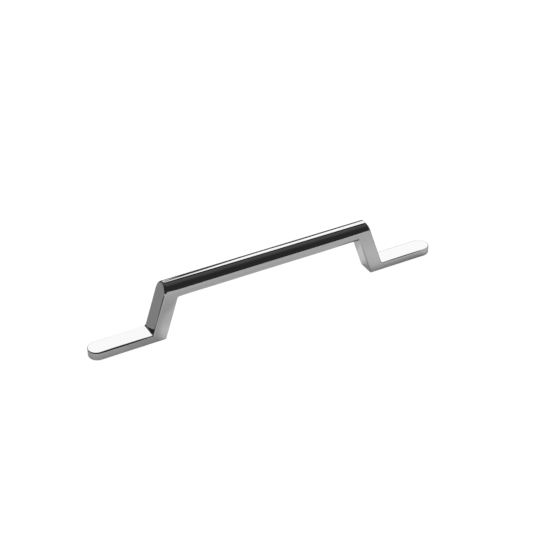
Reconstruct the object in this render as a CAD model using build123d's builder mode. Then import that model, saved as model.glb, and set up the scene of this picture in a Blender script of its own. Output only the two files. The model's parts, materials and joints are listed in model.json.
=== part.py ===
from build123d import *
import os
from math import cos, radians, tan

# Strap pull handle for a cabinet door or drawer, cast in one piece and chrome plated.
# A straight bar with a domed top stands on two legs that lean towards each other, and each leg
# ends in a flat foot that points outwards. Two blind tapped holes in the underside take machine
# screws from behind the door. Millimetres, +Z away from the door, origin midway between the holes
# on the mounting plane.

# Fixing
hole_spacing = 128.0          # centre to centre of the two tapped holes
tap_drill_diameter = 3.3      # core of an M4 thread
hole_depth = 7.0              # full-diameter depth from the mounting plane
drill_point_angle = 118.0     # cone left by the drill at the end of the hole
hole_mouth_diameter = 4.4     # countersink that clears the first thread turn
hole_mouth_angle = 90.0       # of that countersink, wall to wall

# Strap
width = 10.4                  # the same across bar, legs and feet
projection = 31.4             # mounting plane to the crown of the bar
bar_thickness = 7.8           # crown to the flat underside of the bar
leg_thickness = 8.0           # square to the leg's faces
leg_lean = 18.6               # degrees from upright, each leg leaning inwards
leg_setback = 3.0             # hole axis to the leg's inside face, on the mounting plane
foot_thickness = 4.6
foot_reach = 37.0             # hole axis to the rounded tip of the foot

# Roundings
crook_radius = 1.0            # hollow corner between leg and bar underside
heel_radius = 0.8             # corner between the leg's inside face and the mounting plane
instep_radius = 0.8           # hollow corner between foot top and the leg's outside face
outer_edge_radius = 0.8       # edge around each leg's outside face and foot top
inner_edge_radius = 0.6       # edge around the underside, the legs' inside faces and the bar underside

# Worked out from the sizes above
overall_length = hole_spacing + 2 * foot_reach
bar_underside = projection - bar_thickness
crown_radius = width / 2
crown_start = projection - crown_radius
lean_run = tan(radians(leg_lean))
leg_span = leg_thickness / cos(radians(leg_lean))
inside_base = hole_spacing / 2 - leg_setback
outside_base = inside_base + leg_span
sketch_top = projection + crown_radius
tap_drill_radius = tap_drill_diameter / 2
drill_point_height = tap_drill_radius / tan(radians(drill_point_angle / 2))


def inside_face(z):
    return inside_base - z * lean_run


def outside_face(z):
    return outside_base - z * lean_run


with BuildPart() as pull_handle:
    # Section across the strap: upright sides and a full-round crown
    with BuildSketch(Plane.YZ):
        with BuildLine():
            Polyline(
                (-crown_radius, crown_start),
                (-crown_radius, 0),
                (crown_radius, 0),
                (crown_radius, crown_start),
            )
            CenterArc((0, crown_start), crown_radius, 0, 180)
        make_face()
    extrude(amount=overall_length / 2, both=True)

    # Side view: feet, leaning legs and bar, with the corners of the bends rounded
    with BuildSketch(Plane.XZ) as side_view:
        with BuildLine():
            Polyline(
                (0, bar_underside),
                (inside_face(bar_underside), bar_underside),
                (inside_base, 0),
                (overall_length / 2, 0),
                (overall_length / 2, foot_thickness),
                (outside_face(foot_thickness), foot_thickness),
                (outside_face(sketch_top), sketch_top),
                (0, sketch_top),
            )
            mirror(about=Plane.YZ)
        make_face()
        fillet(side_view.vertices().group_by(Axis.Y)[2], crook_radius)
        fillet(side_view.vertices().group_by(Axis.Y)[1].sort_by(Axis.X)[1:3], instep_radius)
        fillet(side_view.vertices().group_by(Axis.Y)[0].sort_by(Axis.X)[1:3], heel_radius)
    extrude(amount=width, both=True, mode=Mode.INTERSECT)

    # Plan view: the feet end in half circles
    with BuildSketch(Plane.XY):
        SlotOverall(overall_length, width)
    extrude(amount=sketch_top, mode=Mode.INTERSECT)

    # Outer rims: round each foot top, up the leg's outside face and over its arch
    foot_tops = pull_handle.faces().filter_by(Plane.XY).group_by(Axis.Z)[1]
    fillet(foot_tops.edges().filter_by(GeomType.CIRCLE), outer_edge_radius)

    # Inner rim: round both foot undersides, up the legs' inside faces and along the bar underside
    undersides = pull_handle.faces().filter_by(Plane.XY).group_by(Axis.Z)[0]
    fillet(undersides.edges().filter_by(GeomType.CIRCLE), inner_edge_radius)

    # Blind tapped holes, drilled up into the legs from the mounting plane
    with Locations(-Plane.XY):
        with GridLocations(hole_spacing, 0, 2, 1):
            CounterSinkHole(tap_drill_radius, hole_mouth_diameter / 2, hole_depth, hole_mouth_angle)
            with Locations((0, 0, -hole_depth)):
                Cone(
                    0,
                    tap_drill_radius,
                    drill_point_height,
                    align=(Align.CENTER, Align.CENTER, Align.MAX),
                    mode=Mode.SUBTRACT,
                )

pull_handle.part.label = "pull_handle"
os.makedirs("parts", exist_ok=True)
export_step(pull_handle.part, "parts/pull_handle.step")
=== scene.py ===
import json
import math

import bpy
from mathutils import Matrix, Vector


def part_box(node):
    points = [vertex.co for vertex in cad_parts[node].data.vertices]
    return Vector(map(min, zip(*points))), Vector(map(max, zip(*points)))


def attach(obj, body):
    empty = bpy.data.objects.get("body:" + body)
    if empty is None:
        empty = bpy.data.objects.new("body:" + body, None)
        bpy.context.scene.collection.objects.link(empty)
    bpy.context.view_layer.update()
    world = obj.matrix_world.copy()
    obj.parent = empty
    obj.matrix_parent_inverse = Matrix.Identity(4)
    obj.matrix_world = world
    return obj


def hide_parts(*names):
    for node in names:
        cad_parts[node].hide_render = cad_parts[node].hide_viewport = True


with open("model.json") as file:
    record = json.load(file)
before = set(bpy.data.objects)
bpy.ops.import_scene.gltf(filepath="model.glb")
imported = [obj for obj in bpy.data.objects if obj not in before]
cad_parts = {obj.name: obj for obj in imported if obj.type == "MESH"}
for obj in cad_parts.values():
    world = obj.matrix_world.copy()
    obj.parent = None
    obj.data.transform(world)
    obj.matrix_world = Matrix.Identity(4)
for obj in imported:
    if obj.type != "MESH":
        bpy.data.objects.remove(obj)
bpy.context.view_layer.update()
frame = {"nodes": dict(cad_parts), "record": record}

mm = 0.001              # sizes below are in millimetres, Blender works in metres
print("frame loaded:", ", ".join(sorted(frame["nodes"])))


def hexToLinear(code):
    channels = [int(code[i:i + 2], 16) / 255 for i in (1, 3, 5)]
    linear = [c / 12.92 if c <= 0.04045 else ((c + 0.055) / 1.055) ** 2.4 for c in channels]
    return (*linear, 1.0)


def addNode(tree, kind, inputs=None, **settings):
    node = tree.nodes.new(kind)
    for name, value in settings.items():
        setattr(node, name, value)
    for name, value in (inputs or {}).items():
        socket = node.inputs[name]
        if isinstance(value, bpy.types.NodeSocket):
            tree.links.new(value, socket)
        else:
            socket.default_value = value
    return node


def newMaterial(name):
    material = bpy.data.materials.new(name)
    material.use_nodes = True
    material.node_tree.nodes.clear()
    return material, material.node_tree


def steps(start, end, count):
    return [start + (end - start) * i / count for i in range(count + 1)]


# The casting. Length, width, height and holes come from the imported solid, the rest repeats its sizes.
# Where the two ends differ, -1 is the left end and 1 the right one
low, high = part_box("pull_handle")
holes = next(m for m in frame["record"]["mounts"] if m["name"] == "screw_holes")["dims"]
strap = {
    "length": round((high.x - low.x) / mm, 1),      # rounded, because facets fall a little short
    "width": round((high.y - low.y) / mm, 1),
    "height": round((high.z - low.z) / mm, 1),
    "barThickness": 7.8,
    "legThickness": 8.0,            # square to the leg's faces
    "legLean": math.radians(18.6),
    "legSetback": 3.0,              # hole axis to the leg's inside face, on the mounting plane
    "footThickness": 4.6,
    "instepRadius": {"near": 0.55, "far": 1.35},    # hollow bend, foot top to leg
    "heelRadius": 0.8,              # bend, foot underside to leg
    "crookRadius": 1.0,             # hollow bend, leg to bar underside
    "outerEdge": {                  # rim round foot top, leg outside and arch, buffed unevenly
        -1: {"foot": (0.82, 0.92, 0.87, 0.8), "instep": 0.5, "leg": 1.0,
             "arch": 1.2, "crown": 1.6, "far": 0.35},
        1: {"foot": (0.25, 0.52, 0.55, 0.5), "instep": 0.3, "leg": 0.8,
            "arch": 1.5, "crown": 0.7, "far": 0.7},
    },
    "crownShare": 0.25,             # how far over the arch that rim has its crown radius
    "hollow": {"near": math.radians(6), "far": math.radians(4.5)},      # slight dish above the instep
    "hollowTop": 5.0,               # height of that above the foot
    "crownEase": {-1: math.radians(3.8), 1: math.radians(2.5)},     # buffed down at the near side's ends
    "crownFall": {-1: 5.0, 1: 16.0},        # length over which that fades out
    "crownEased": math.radians(45),         # and how far up the crown
    "innerEdge": {-1: 0.35, 1: 0.7},        # rim round foot underside and leg inside
    "barEdge": (                    # place along the bar, right to left, and the radius of its lower rim
        (52.0, 0.7), (49.0, 1.2), (42.0, 0.95), (30.0, 0.65), (0.0, 0.65), (-30.0, 0.5), (-52.0, 0.6),
    ),
    "archCuts": 96,
    "endCuts": 64,
    "bendCuts": 10,
    "edgeCuts": 8,
    "barCuts": 40,
    "footCuts": 4,
}
screwHole = {
    "spacing": holes["spacing_x_mm"],
    "coreRadius": holes["hole_r_mm"],
    "rootRadius": 2.0,              # M4 thread, 0.7 pitch
    "pitch": 0.7,
    "flankSlope": 1.4,              # steep flanks leave flats on crest and root
    "crestFlat": 0.2,
    "depth": 7.0,
    "tapStop": 0.4,                 # the tap stops short of the drill's end
    "mouthRadius": 2.2,             # countersunk at 45 degrees
    "pointAngle": math.radians(118),
    "turnCuts": 40,
    "pitchCuts": 8,
    "nudge": 0.02,                  # small step that slopes are worked out over
}

halfWidth = strap["width"] / 2
crownStart = strap["height"] - halfWidth
footCentre = strap["length"] / 2 - halfWidth
barUnderside = strap["height"] - strap["barThickness"]
leanCos = math.cos(strap["legLean"])
leanSin = math.sin(strap["legLean"])
# leaning faces, by their distance from the origin along the normal
insidePlane = (screwHole["spacing"] / 2 - strap["legSetback"]) * leanCos
outsidePlane = insidePlane + strap["legThickness"]

points = []
normals = []
faces = []
corners = []


def addPoint(place, normal):
    points.append(place)
    normals.append(normal)
    return len(points) - 1


def addFace(ids, flatNormal=None):
    # the winding follows the normals, so every face looks outwards
    area = Vector()
    for a, b in zip(ids, ids[1:] + ids[:1]):
        area += points[a].cross(points[b])
    ownNormals = [flatNormal or normals[i] for i in ids]
    if area.dot(sum(ownNormals, Vector())) < 0:
        ids, ownNormals = ids[::-1], ownNormals[::-1]
    faces.append(ids)
    corners.extend(ownNormals)


def bendNormal(angle):
    return Vector((math.cos(angle), 0, math.sin(angle)))


def planeX(plane, z):
    return (plane - z * leanSin) / leanCos      # where a leaning plane stands at height z


def rimRow(side, spine, faceNormal, wallNormal, radius):
    # one arc across a rounded rim, from the face to the wall
    flip = Vector((side, 1, 1))
    row = []
    for share in steps(0, 1, strap["edgeCuts"]):
        normal = faceNormal.slerp(wallNormal, share)
        row.append(addPoint((spine + radius * normal) * flip, normal * flip))
    return row


def strapRows(side, stations, wall, radii):
    # rim arcs along a straight side wall, from (place, bend angle) stations on the face
    rows = []
    for (place, angle), radius in zip(stations, radii):
        normal = bendNormal(angle)
        spine = place - radius * normal + Vector((0, wall * (halfWidth - radius), 0))
        rows.append(rimRow(side, spine, normal, Vector((0, wall, 0)), radius))
    return rows


def endRows(side, height, faceNormal, nearRadius, farRadius):
    # rim arcs round the half-circle end of a foot, near side to far side
    rows = []
    for turn in steps(0, math.pi, strap["endCuts"])[1:-1]:
        radius = nearRadius + (farRadius - nearRadius) * min(turn / (math.pi / 2), 1)
        wallNormal = Vector((math.sin(turn), -math.cos(turn), 0))
        spine = Vector((footCentre, 0, height)) - radius * faceNormal + (halfWidth - radius) * wallNormal
        rows.append(rimRow(side, spine, faceNormal, wallNormal, radius))
    return rows


def joinRows(rows):
    for rowA, rowB in zip(rows, rows[1:] + rows[:1]):
        for k in range(len(rowA) - 1):
            addFace([rowA[k], rowA[k + 1], rowB[k + 1], rowB[k]])


def outerRim(side):
    edge = strap["outerEdge"][side]
    foot = strap["footThickness"]
    up = math.pi / 2
    flat = foot + strap["hollowTop"]
    crownShare = strap["crownShare"]
    footCount = len(edge["foot"]) + 1
    radii = list(edge["foot"]) + steps(edge["instep"], edge["leg"], strap["bendCuts"]) + [edge["leg"]]
    rim = {}
    for name, wall in (("near", -1), ("far", 1)):
        bend = strap["instepRadius"][name]
        lowest = strap["legLean"] + strap["hollow"][name]
        centre = Vector((planeX(outsidePlane + bend, foot + bend), 0, foot + bend))
        stations = [(Vector((x, 0, foot)), up) for x in steps(footCentre, centre.x, footCount - 1)[:-1]]
        stations += [(centre - bend * bendNormal(a), a) for a in steps(up, lowest, strap["bendCuts"])]
        stations.append((Vector((planeX(outsidePlane, flat), 0, flat)), strap["legLean"]))
        rim[name] = strapRows(side, stations, wall, radii if wall < 0 else [edge["far"]] * len(radii))
    rim["arch"] = []
    for share in steps(0, 1, strap["archCuts"]):
        turn = math.pi * share
        radius = edge["arch"] + (edge["crown"] - edge["arch"]) * min(share / crownShare, 1)
        radius += (edge["far"] - edge["crown"]) * max((share - crownShare) / (1 - crownShare), 0)
        wallNormal = Vector((0, -math.cos(turn), math.sin(turn)))
        spine = Vector((0, 0, crownStart)) + (halfWidth - radius) * wallNormal
        spine.x = planeX(outsidePlane - radius, spine.z)
        rim["arch"].append(rimRow(side, spine, bendNormal(strap["legLean"]), wallNormal, radius))
    rim["end"] = endRows(side, foot, bendNormal(up), edge["foot"][0], edge["far"])
    joinRows(rim["near"] + rim["arch"] + rim["far"][::-1] + rim["end"][::-1])

    nearFace, farFace, archFace, endFace = (
        [row[0] for row in rim[name]] for name in ("near", "far", "arch", "end"))
    addFace(nearFace[:footCount] + farFace[:footCount][::-1] + endFace[::-1])      # foot top
    for i in range(footCount - 1, len(stations) - 1):                              # instep
        addFace([nearFace[i], nearFace[i + 1], farFace[i + 1], farFace[i]])
    addFace([nearFace[-1]] + archFace + [farFace[-1]])                             # leg outside
    return rim


def barEdge(x):
    # rim radius under the bar: polished softer towards the right leg
    for (rightX, rightRadius), (leftX, leftRadius) in zip(strap["barEdge"], strap["barEdge"][1:]):
        if x >= leftX:
            share = min(max((rightX - x) / (rightX - leftX), 0), 1)
            return rightRadius + share * (leftRadius - rightRadius)
    return leftRadius


def innerRim():
    radius = strap["innerEdge"]
    heel = strap["heelRadius"]
    crook = strap["crookRadius"]
    down = math.pi * 1.5
    inwards = math.pi + strap["legLean"]
    heelCentre = Vector((planeX(insidePlane + heel, heel), 0, heel))
    crookHeight = barUnderside - crook
    crookCentre = Vector((planeX(insidePlane - crook, crookHeight), 0, crookHeight))
    foot = [(Vector((x, 0, 0)), down) for x in steps(footCentre, heelCentre.x, strap["footCuts"])[:-1]]
    leg = [(heelCentre + heel * bendNormal(a), a) for a in steps(down, inwards, strap["bendCuts"])]
    leg += [(crookCentre - crook * bendNormal(a), a) for a in steps(inwards, down, strap["bendCuts"])]
    barPlaces = steps(crookCentre.x, -crookCentre.x, strap["barCuts"])[1:-1]
    bar = [(Vector((x, 0, barUnderside)), down) for x in barPlaces]
    rim = {}
    for wall, name in ((-1, "near"), (1, "far")):
        rim[name] = strapRows(1, foot + leg, wall, [radius[1]] * len(foot + leg))
        rim[name] += strapRows(1, bar, wall, [barEdge(x) for x in barPlaces])
        rim[name] += strapRows(-1, foot + leg, wall, [radius[-1]] * len(foot + leg))[::-1]
    rim["rightEnd"] = endRows(1, 0, bendNormal(down), radius[1], radius[1])
    rim["leftEnd"] = endRows(-1, 0, bendNormal(down), radius[-1], radius[-1])
    joinRows(rim["near"] + rim["leftEnd"] + rim["far"][::-1] + rim["rightEnd"][::-1])

    # heel, leg inside, crook and bar underside, in two halves that meet on the centre line
    nearFace, farFace = [row[0] for row in rim["near"]], [row[0] for row in rim["far"]]
    first, last = len(foot), len(nearFace) - len(foot) - 1
    middle = {}
    for i in range(first, last + 1):
        place = points[nearFace[i]].copy()
        place.y = 0
        middle[i] = addPoint(place, normals[nearFace[i]])
    for i in range(first, last):
        addFace([nearFace[i], nearFace[i + 1], middle[i + 1], middle[i]])
        addFace([farFace[i], farFace[i + 1], middle[i + 1], middle[i]])

    # foot undersides, each in two halves round its screw hole
    for side, end in ((1, rim["rightEnd"]), (-1, rim["leftEnd"])):
        mouth = tappedHole(side)
        half = len(mouth) // 2
        endFace = [row[0] for row in end]
        tip = len(endFace) // 2
        at = first if side > 0 else last
        for wall, face, outline in ((-1, nearFace, endFace[:tip + 1]), (1, farFace, endFace[tip:][::-1])):
            strip = face[:first + 1] if side > 0 else face[last:][::-1]
            ring = mouth[half:] + mouth[:1] if wall < 0 else mouth[:half + 1][::-1]
            if side < 0:
                ring = ring[::-1]
            addFace([middle[at]] + strip[::-1] + outline + ring[::-1], Vector((0, 0, -1)))
    return rim


def tappedHole(side):
    # the void is the wider of the countersink and the thread, round the axis and up the hole
    hole = screwHole
    depth = hole["depth"]
    nudge = hole["nudge"]

    def voidRadius(turn, z):
        wave = abs(2 * ((z / hole["pitch"] - turn / (2 * math.pi)) % 1) - 1)
        groove = min(max(hole["flankSlope"] * wave - hole["crestFlat"], 0), 1)
        fade = min(max((depth - hole["tapStop"] - z) / hole["pitch"], 0), 1)
        thread = hole["coreRadius"] + (hole["rootRadius"] - hole["coreRadius"]) * groove * fade
        return max(hole["mouthRadius"] - z, thread)

    def wallPoint(turn, z):
        r = voidRadius(turn, z)
        around = (voidRadius(turn + nudge, z) - voidRadius(turn - nudge, z)) / (2 * nudge * r)
        along = (voidRadius(turn, z + nudge) - voidRadius(turn, z - nudge)) / (2 * nudge)
        out = Vector((math.cos(turn), math.sin(turn), 0))
        tangent = Vector((-math.sin(turn), math.cos(turn), 0))
        normal = (-out + around * tangent + along * Vector((0, 0, 1))).normalized()
        return addPoint(out * r + Vector((side * hole["spacing"] / 2, 0, z)), normal)

    turns = [2 * math.pi * i / hole["turnCuts"] for i in range(hole["turnCuts"])]
    levels = steps(0, depth, round(depth / hole["pitch"] * hole["pitchCuts"]))
    rings = [[wallPoint(turn, z) for turn in turns] for z in levels]
    for ringA, ringB in zip(rings, rings[1:]):
        for i in range(len(ringA)):
            j = (i + 1) % len(ringA)
            addFace([ringA[i], ringA[j], ringB[j], ringB[i]])
    point = depth + hole["coreRadius"] / math.tan(hole["pointAngle"] / 2)
    apex = addPoint(Vector((side * hole["spacing"] / 2, 0, point)), Vector((0, 0, -1)))
    for i in range(len(turns)):
        addFace([rings[-1][i], rings[-1][(i + 1) % len(turns)], apex])
    return rings[0]


def crownNormal(turn, fromEnds):
    # square to the crown, but eased down a little near both ends of the near side
    swell = math.sin(math.pi * min(turn / strap["crownEased"], 1))
    eased = turn
    for side, distance in fromEnds.items():
        fall = max(1 - distance / strap["crownFall"][side], 0)
        eased -= strap["crownEase"][side] * fall * swell
    return Vector((0, -math.cos(eased), math.sin(eased)))


def sideWalls(right, left, inner):
    # the crown runs from arch to arch, and both flat sides take in its lower edges
    crown = []
    for rowR, rowL, turn in zip(right["arch"], left["arch"], steps(0, math.pi, strap["archCuts"])):
        start, end = points[rowR[-1]], points[rowL[-1]]
        line = [rowR[-1]]
        line += [addPoint(start.lerp(end, share), None) for share in steps(0, 1, strap["barCuts"])[1:-1]]
        line.append(rowL[-1])
        for i in line:
            normals[i] = crownNormal(turn, {1: start.x - points[i].x, -1: points[i].x - end.x})
        crown.append(line)
    for lineA, lineB in zip(crown, crown[1:]):
        for i in range(len(lineA) - 1):
            addFace([lineA[i], lineA[i + 1], lineB[i + 1], lineB[i]])
    for name, line in (("near", crown[0]), ("far", crown[-1])):
        rightWall, leftWall, innerWall = ([row[-1] for row in rim[name]] for rim in (right, left, inner))
        addFace(rightWall + line + leftWall[::-1] + innerWall[::-1])
    # half-circle walls at the ends of the feet
    for upper, lower, at in ((right, "rightEnd", 0), (left, "leftEnd", -1)):
        top = [upper["near"][0]] + upper["end"] + [upper["far"][0]]
        bottom = [inner["near"][at]] + inner[lower] + [inner["far"][at]]
        for i in range(len(top) - 1):
            addFace([top[i][-1], top[i + 1][-1], bottom[i + 1][-1], bottom[i][-1]])


sideWalls(outerRim(1), outerRim(-1), innerRim())
castingMesh = bpy.data.meshes.new("cast_pull")
castingMesh.from_pydata([p * mm for p in points], [], faces)
castingMesh.shade_smooth()
castingMesh.normals_split_custom_set(corners)       # worked-out normals, so reflections run straight
casting = bpy.data.objects.new("cast_pull", castingMesh)
bpy.context.scene.collection.objects.link(casting)
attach(casting, "root")
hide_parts("pull_handle")
print("casting built:", len(points), "points,", len(faces), "faces")


# Polished chrome plate on a buffed zinc casting: a near-perfect mirror with a neutral grey tint,
# a very slight waviness and faint patches of haze from the buffing wheel, and one painted dark reflection
chrome = {
    "tint": "#C4C4C4",
    "roughness": (0.02, 0.05),
    "hazePatch": 14.0,              # size of the hazier patches
    "hazeSpan": (0.35, 0.65),       # noise values that give least and most roughness
    "hazeDetail": 2.0,
    "waveLength": 9.0,              # buffing waviness, crest to crest
    "waveHeight": 0.004,
    "waveDetail": 1.0,
    "paintedDashTint": "#606060",          # painted dark reflection on the bar's near lower edge, by the right leg
    "paintedDashAlong": (38.0, 49.5, 52.2, 52.9),      # where it starts, is full, thins and ends
    "paintedDashDepth": (-4.4, -3.8),      # on the near side only
    "paintedDashTop": (24.8, 25.1),
}


def polishedChromePlate():
    material, tree = newMaterial("polished_chrome_plate")
    place = addNode(tree, "ShaderNodeTexCoord").outputs["Object"]
    haze = addNode(tree, "ShaderNodeTexNoise", {
        "Vector": place, "Scale": 1 / (chrome["hazePatch"] * mm), "Detail": chrome["hazeDetail"]})
    rough = addNode(tree, "ShaderNodeMapRange", {
        "Value": haze.outputs["Fac"], "From Min": chrome["hazeSpan"][0], "From Max": chrome["hazeSpan"][1],
        "To Min": chrome["roughness"][0], "To Max": chrome["roughness"][1]})
    wave = addNode(tree, "ShaderNodeTexNoise", {
        "Vector": place, "Scale": 1 / (chrome["waveLength"] * mm), "Detail": chrome["waveDetail"]})
    bump = addNode(tree, "ShaderNodeBump", {
        "Height": wave.outputs["Fac"], "Strength": 1.0, "Distance": chrome["waveHeight"] * mm})
    along = addNode(tree, "ShaderNodeSeparateXYZ", {0: place}).outputs
    # painted dark reflection: a grey dash mixed into the tint on the bar's near lower edge
    paintedDash = 1.0
    for value, (start, end), first, last in (
        (along["X"], chrome["paintedDashAlong"][:2], 0.0, 1.0),
        (along["X"], chrome["paintedDashAlong"][2:], 1.0, 0.0),
        (along["Y"], chrome["paintedDashDepth"], 1.0, 0.0),
        (along["Z"], chrome["paintedDashTop"], 1.0, 0.0),
    ):
        share = addNode(tree, "ShaderNodeMapRange", {
            "Value": value, "From Min": start * mm, "From Max": end * mm, "To Min": first, "To Max": last})
        product = addNode(tree, "ShaderNodeMath", {0: paintedDash, 1: share.outputs[0]}, operation="MULTIPLY")
        paintedDash = product.outputs[0]
    tint = addNode(tree, "ShaderNodeMix", {
        "Factor": paintedDash, "A": hexToLinear(chrome["tint"]), "B": hexToLinear(chrome["paintedDashTint"]),
    }, data_type="RGBA")
    plate = addNode(tree, "ShaderNodeBsdfPrincipled", {
        "Base Color": tint.outputs["Result"], "Metallic": 1.0,
        "Roughness": rough.outputs["Result"], "Normal": bump.outputs["Normal"]})
    addNode(tree, "ShaderNodeOutputMaterial", {"Surface": plate.outputs["BSDF"]})
    return material


casting.data.materials.append(polishedChromePlate())
print("chrome plate done")


# Camera, as the photograph was taken
view = {
    "lens": 81.245,
    "sensor": 36.0,
    "azimuth": math.radians(27.525),
    "elevation": math.radians(34.467),
    "roll": math.radians(-0.722),
    "distance": 637.66,
    "aim": Vector((4.27, 9.057, 14.575)),
}
towards = Vector((
    -math.sin(view["azimuth"]) * math.cos(view["elevation"]),
    -math.cos(view["azimuth"]) * math.cos(view["elevation"]),
    math.sin(view["elevation"]),
))
levelRight = Vector((math.cos(view["azimuth"]), -math.sin(view["azimuth"]), 0))
levelUp = towards.cross(levelRight)
viewRight = math.cos(view["roll"]) * levelRight + math.sin(view["roll"]) * levelUp
viewUp = math.cos(view["roll"]) * levelUp - math.sin(view["roll"]) * levelRight
lens = bpy.data.cameras.new("camera")
lens.lens = view["lens"]
lens.sensor_width = view["sensor"]
camera = bpy.data.objects.new("camera", lens)
camera.matrix_world = Matrix.Translation((view["aim"] + view["distance"] * towards) * mm) @ Matrix(
    (viewRight, viewUp, towards)).transposed().to_4x4()
bpy.context.scene.collection.objects.link(camera)
bpy.context.scene.camera = camera
print("camera placed")


# Studio. Across, back and up are seen from the camera: the set is squared to it
levelBack = Vector((math.sin(view["azimuth"]), math.cos(view["azimuth"]), 0))


def studioPoint(across, back, up):
    return (across * levelRight + back * levelBack + Vector((0, 0, up))) * mm


def stageMesh(name, places, polygons, material, hiddenFrom=()):
    mesh = bpy.data.meshes.new(name)
    mesh.from_pydata(places, [], polygons)
    mesh.materials.append(material)
    stand = bpy.data.objects.new(name, mesh)
    for ray in hiddenFrom:
        setattr(stand, "visible_" + ray, False)
    bpy.context.scene.collection.objects.link(stand)


# White paper sheet, matt and even to the camera: it reads as plain white, with a soft shadow under the
# handle, while the chrome mirrors it with painted light and shade: slopes, pools and shade close to the
# handle
paper = {
    "halfSize": 4000.0,
    "drop": 0.05,               # just under the feet
    "tone": 0.9,
    "paintedSlopes": (                 # painted fall-off of light and shade: heading, how far along it starts and ends, share left after it
        ((-0.3, 0.95), 20.0, 45.0, 0.47),       # painted fall-off of light behind the left leg
        ((0.4, 0.92), 34.0, 38.5, 0.74),        # painted step of shade behind the right leg
        ((0.4, 0.92), 42.0, 56.0, 0.11),        # painted shade further behind, where the lit part ends
        ((0.8, -0.6), 50.0, 100.0, 0.9),        # painted: a little less light towards the right front
        ((0.0, -1.0), 20.0, 40.0, 0.88),        # painted: less light towards the front
        ((0.0, -1.0), 45.0, 110.0, 1.13),       # painted: more light again further out
    ),
    "paintedPools": (                  # painted pools of light and shade: middle, inner and outer radius, share inside
        ((-27.0, 3.0), 35.5, 39.5, 1.32),       # painted pool of light thrown back by the left leg
        ((-55.0, -9.0), 4.0, 10.0, 1.15),       # painted, more of that light close to its foot
        ((-62.0, -18.0), 14.0, 30.0, 0.82),     # painted shade in front of the left leg
        ((52.0, -10.0), 9.5, 12.5, 0.72),       # painted shade under the bar, beside the right leg
        ((-94.0, -8.0), 3.0, 11.0, 0.9),        # painted shade beside the left toe
        ((-186.0, -17.0), 50.0, 61.0, 0.2),     # painted shade left of the left leg
        ((-122.0, -20.0), 10.0, 17.0, 0.25),    # and painted shade nearer, left of the left foot
    ),
    "contactReach": 5.0,        # painted shade close to the right foot's front, from the openness round each point
    "contactSpan": (0.5, 1.0),  # openness that gives most and none of it
    "contactSamples": 8,
    "contactSlope": ((0.3, -0.95), 24.0, 35.0, 1.0, 0.42),
    "cameraWhite": 0.9,         # share of plain white that shows, the rest keeps the shadow
    "cameraStrength": 1.07,
    "mirrorWhite": 0.05,        # and the share that the chrome mirrors as a glow of the painted tone
}


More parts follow.
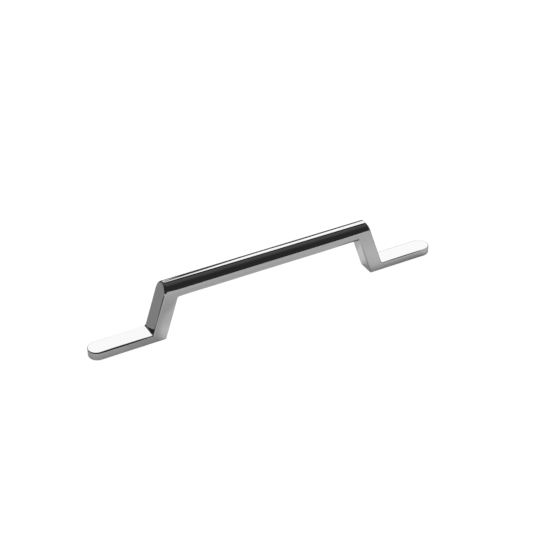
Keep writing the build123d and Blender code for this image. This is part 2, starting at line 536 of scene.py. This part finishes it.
def whitePaper():
    material, tree = newMaterial("white_paper_sheet")
    rays = addNode(tree, "ShaderNodeLightPath").outputs
    geometry = addNode(tree, "ShaderNodeNewGeometry").outputs
    place = geometry["Position"]

    # what the chrome mirrors: painted slopes and pools of light and shade, and painted shade close to the
    # handle
    shares = []
    for heading, startAt, endAt, share in paper["paintedSlopes"]:
        along = addNode(tree, "ShaderNodeVectorMath", {0: place, 1: (*heading, 0)}, operation="DOT_PRODUCT")
        shares.append((along.outputs["Value"], startAt, endAt, 1.0, share))
    for middle, inner, outer, share in paper["paintedPools"]:
        away = addNode(tree, "ShaderNodeVectorMath", {0: place, 1: Vector((*middle, 0)) * mm},
                       operation="DISTANCE")
        shares.append((away.outputs["Value"], inner, outer, share, 1.0))
    tone = paper["tone"]
    for value, startAt, endAt, first, last in shares:
        share = addNode(tree, "ShaderNodeMapRange", {
            "Value": value, "From Min": startAt * mm, "From Max": endAt * mm,
            "To Min": first, "To Max": last}, interpolation_type="SMOOTHSTEP")
        product = addNode(tree, "ShaderNodeMath", {0: tone, 1: share.outputs[0]}, operation="MULTIPLY")
        tone = product.outputs[0]
    heading, startAt, endAt, first, last = paper["contactSlope"]
    along = addNode(tree, "ShaderNodeVectorMath", {0: place, 1: (*heading, 0)}, operation="DOT_PRODUCT")
    deepest = addNode(tree, "ShaderNodeMapRange", {
        "Value": along.outputs["Value"], "From Min": startAt * mm, "From Max": endAt * mm,
        "To Min": first, "To Max": last})
    openness = addNode(tree, "ShaderNodeAmbientOcclusion", {"Distance": paper["contactReach"] * mm},
                       samples=paper["contactSamples"])
    contact = addNode(tree, "ShaderNodeMapRange", {
        "Value": openness.outputs["AO"],
        "From Min": paper["contactSpan"][0], "From Max": paper["contactSpan"][1],
        "To Min": deepest.outputs[0], "To Max": 1.0})
    product = addNode(tree, "ShaderNodeMath", {0: tone, 1: contact.outputs[0]}, operation="MULTIPLY")
    tone = product.outputs[0]

    # what the camera sees is plain paper
    seenTone = addNode(tree, "ShaderNodeMix", {
        "Factor": rays["Is Camera Ray"], "A": tone, "B": paper["tone"]}, data_type="FLOAT")
    matt = addNode(tree, "ShaderNodeBsdfDiffuse", {"Color": seenTone.outputs["Result"]})
    # a glow at the painted tone, a small share of what the chrome mirrors
    lit = addNode(tree, "ShaderNodeEmission", {"Strength": tone})
    white = addNode(tree, "ShaderNodeEmission", {"Strength": paper["cameraStrength"]})
    mirrorRay = addNode(tree, "ShaderNodeMath", {0: rays["Is Glossy Ray"], 1: rays["Is Transmission Ray"]},
                        operation="MAXIMUM")
    mirrorShare = addNode(tree, "ShaderNodeMath", {0: mirrorRay.outputs[0], 1: paper["mirrorWhite"]},
                          operation="MULTIPLY")
    cameraShare = addNode(tree, "ShaderNodeMath", {0: rays["Is Camera Ray"], 1: paper["cameraWhite"]},
                          operation="MULTIPLY")
    seen = addNode(tree, "ShaderNodeMixShader", {
        0: mirrorShare.outputs[0], 1: matt.outputs[0], 2: lit.outputs[0]})
    seen = addNode(tree, "ShaderNodeMixShader", {
        0: cameraShare.outputs[0], 1: seen.outputs[0], 2: white.outputs[0]})
    clear = addNode(tree, "ShaderNodeBsdfTransparent")      # the sheet hides nothing from below
    oneSided = addNode(tree, "ShaderNodeMixShader", {
        0: geometry["Backfacing"], 1: seen.outputs[0], 2: clear.outputs[0]})
    addNode(tree, "ShaderNodeOutputMaterial", {"Surface": oneSided.outputs[0]})
    return material


half = paper["halfSize"]
floorCorners = [
    studioPoint(across, back, -paper["drop"])
    for across, back in ((-half, -half), (half, -half), (half, half), (-half, half))
]
stageMesh("floor", floorCorners, [(0, 1, 2, 3)], whitePaper())


# Softbox cloth and card, lit through from behind: an even white glow, dim in the wing, none in the frame
def glow(name, strength):
    material, tree = newMaterial(name)
    glowShader = addNode(tree, "ShaderNodeEmission", {"Strength": strength})
    addNode(tree, "ShaderNodeOutputMaterial", {"Surface": glowShader.outputs[0]})
    return material


# Softbox behind and above, its dim left end, its black frame, and a card for the left foot.
# Corners are millimetres across and degrees of elevation from the bar, on one leaning plane
softbox = {
    "front": (
        (-92.0, 52.3), (-58.0, 52.0), (-44.0, 52.6), (-31.0, 52.3), (-13.0, 53.7),
        (38.0, 54.2), (66.0, 53.2), (112.0, 52.2), (260.0, 50.0),
    ),
    "rear": (
        (260.0, 13.0), (53.0, 16.5), (25.0, 19.5), (10.0, 22.3), (-4.0, 21.8),
        (-22.0, 18.4), (-36.0, 19.0), (-44.0, 21.3),
    ),
    "wingRear": ((-58.0, 28.5), (-78.0, 33.2), (-92.0, 31.0)),
    "card": (
        (-240.0, 54.0), (-84.0, 47.0), (-93.0, 38.0), (-110.5, 24.0), (-125.0, 8.0),
        (-190.0, 8.0), (-240.0, 38.0),
    ),
    "frameWidth": 12.0,         # degrees
    "clothRadiance": 1.7,       # foot tops just short of white
    "wingRadiance": 0.84,
    "frameRadiance": 0.0,
    "barHeight": 31.0,
    "distance": 307.0,          # square from the bar to the plane
    "leanBack": 59.0,           # elevation of that square line
    "lampAt": (95.0, 36.0),
    "lampSize": 260.0,
    "lampPower": 0.6,           # watts
}


def softboxPoint(across, elevation):
    rise = math.radians(elevation)
    distance = softbox["distance"] / math.cos(rise - math.radians(softbox["leanBack"]))
    return studioPoint(across, distance * math.cos(rise), softbox["barHeight"] + distance * math.sin(rise))


front = softbox["front"]
rear = softbox["rear"]
frameTop = tuple((across, elevation + softbox["frameWidth"]) for across, elevation in front[::-1])
for name, outline, radiance in (
    ("softbox_cloth", front[1:] + rear, softbox["clothRadiance"]),
    ("softbox_wing", front[:2] + rear[-1:] + softbox["wingRear"], softbox["wingRadiance"]),
    ("softbox_frame", front + frameTop, softbox["frameRadiance"]),
    ("foot_card", softbox["card"], softbox["clothRadiance"]),
):
    places = [softboxPoint(*corner) for corner in outline]
    stageMesh(name, places, [range(len(places))], glow(name, radiance), ["camera"])

lamp = bpy.data.lights.new("softbox_lamp", "AREA")
lamp.size = softbox["lampSize"] * mm
lamp.energy = softbox["lampPower"]
lampStand = bpy.data.objects.new("softbox_lamp", lamp)
lampStand.location = softboxPoint(*softbox["lampAt"])
lampStand.rotation_euler = lampStand.location.to_track_quat("Z", "Y").to_euler()
lampStand.visible_glossy = False        # the cloth is what the chrome mirrors
bpy.context.scene.collection.objects.link(lampStand)

# Painted reflection: a dim glowing dome all round, seen only in the chrome, near black in front and dark
# grey behind: the chrome's dark tones
tent = {
    "radius": 3500.0,
    "lowest": 1.6,              # degrees above the floor
    "dark": 0.035,
    "pale": 0.106,
    "darkAt": -0.33,            # places along the way back, as shares of the radius
    "paleAt": 0.15,
    "fadeFrom": 0.40,
    "fadeTo": 0.60,
    "fade": 0.25,               # share left behind the softbox
    "sideFrom": -0.75,          # and along the way across, to the left
    "sideTo": -0.9,
    "side": 0.4,
    "rows": 16,
    "columns": 48,
}


def darkTent():
    material, tree = newMaterial("painted_reflection_dome")
    place = addNode(tree, "ShaderNodeNewGeometry").outputs["Position"]
    reach = tent["radius"] * mm
    back = addNode(tree, "ShaderNodeVectorMath", {0: place, 1: levelBack / reach}, operation="DOT_PRODUCT")
    tone = addNode(tree, "ShaderNodeMapRange", {
        "Value": back.outputs["Value"], "From Min": tent["darkAt"], "From Max": tent["paleAt"],
        "To Min": tent["dark"], "To Max": tent["pale"]}, interpolation_type="SMOOTHSTEP")
    fade = addNode(tree, "ShaderNodeMapRange", {
        "Value": back.outputs["Value"], "From Min": tent["fadeFrom"], "From Max": tent["fadeTo"],
        "To Min": 1.0, "To Max": tent["fade"]}, interpolation_type="SMOOTHSTEP")
    across = addNode(tree, "ShaderNodeVectorMath", {0: place, 1: levelRight / reach},
                     operation="DOT_PRODUCT")
    side = addNode(tree, "ShaderNodeMapRange", {
        "Value": across.outputs["Value"], "From Min": tent["sideTo"], "From Max": tent["sideFrom"],
        "To Min": tent["side"], "To Max": 1.0}, interpolation_type="SMOOTHSTEP")
    shade = addNode(tree, "ShaderNodeMath", {0: tone.outputs[0], 1: fade.outputs[0]}, operation="MULTIPLY")
    shade = addNode(tree, "ShaderNodeMath", {0: shade.outputs[0], 1: side.outputs[0]}, operation="MULTIPLY")
    glowShader = addNode(tree, "ShaderNodeEmission", {"Strength": shade.outputs[0]})
    addNode(tree, "ShaderNodeOutputMaterial", {"Surface": glowShader.outputs[0]})
    return material


tentPlaces = []
tentFaces = []
columns = tent["columns"]
for lift in steps(math.radians(tent["lowest"]), math.pi / 2, tent["rows"])[:-1]:
    for turn in steps(0, 2 * math.pi, columns)[:-1]:
        ring = Vector((math.cos(turn), math.sin(turn), 0))
        tentPlaces.append((math.cos(lift) * ring + Vector((0, 0, math.sin(lift)))) * tent["radius"] * mm)
tentPlaces.append(Vector((0, 0, tent["radius"] * mm)))
for i in range(tent["rows"]):
    for j in range(columns):
        k = (j + 1) % columns
        upper = [(i + 1) * columns + k, (i + 1) * columns + j]
        if i == tent["rows"] - 1:
            upper = [len(tentPlaces) - 1]       # the top row closes on one point
        tentFaces.append([i * columns + j, i * columns + k] + upper)
hiddenFrom = ["camera", "diffuse", "transmission", "volume_scatter", "shadow"]      # only mirrored
stageMesh("dark_tent", tentPlaces, tentFaces, darkTent(), hiddenFrom)

# World: white behind the set, softer as ambient light
ambient = {"white": "#FFFFFF", "shown": 1.0, "level": 0.70}
world = bpy.data.worlds.new("studio")
world.use_nodes = True
world.node_tree.nodes.clear()
bpy.context.scene.world = world
worldTree = world.node_tree
worldWhite = hexToLinear(ambient["white"])
rays = addNode(worldTree, "ShaderNodeLightPath").outputs
shown = addNode(worldTree, "ShaderNodeMath", {0: rays["Is Camera Ray"], 1: rays["Is Glossy Ray"]},
                operation="MAXIMUM")
shown = addNode(worldTree, "ShaderNodeMath", {0: shown.outputs[0], 1: rays["Is Transmission Ray"]},
                operation="MAXIMUM")
backdrop = addNode(worldTree, "ShaderNodeBackground", {"Color": worldWhite, "Strength": ambient["shown"]})
fill = addNode(worldTree, "ShaderNodeBackground", {"Color": worldWhite, "Strength": ambient["level"]})
sky = addNode(worldTree, "ShaderNodeMixShader", {
    0: shown.outputs[0], 1: fill.outputs[0], 2: backdrop.outputs[0]})
addNode(worldTree, "ShaderNodeOutputWorld", {"Surface": sky.outputs[0]})
bpy.context.scene.view_settings.view_transform = "Standard"
print("studio set")

bpy.context.view_layer.update()
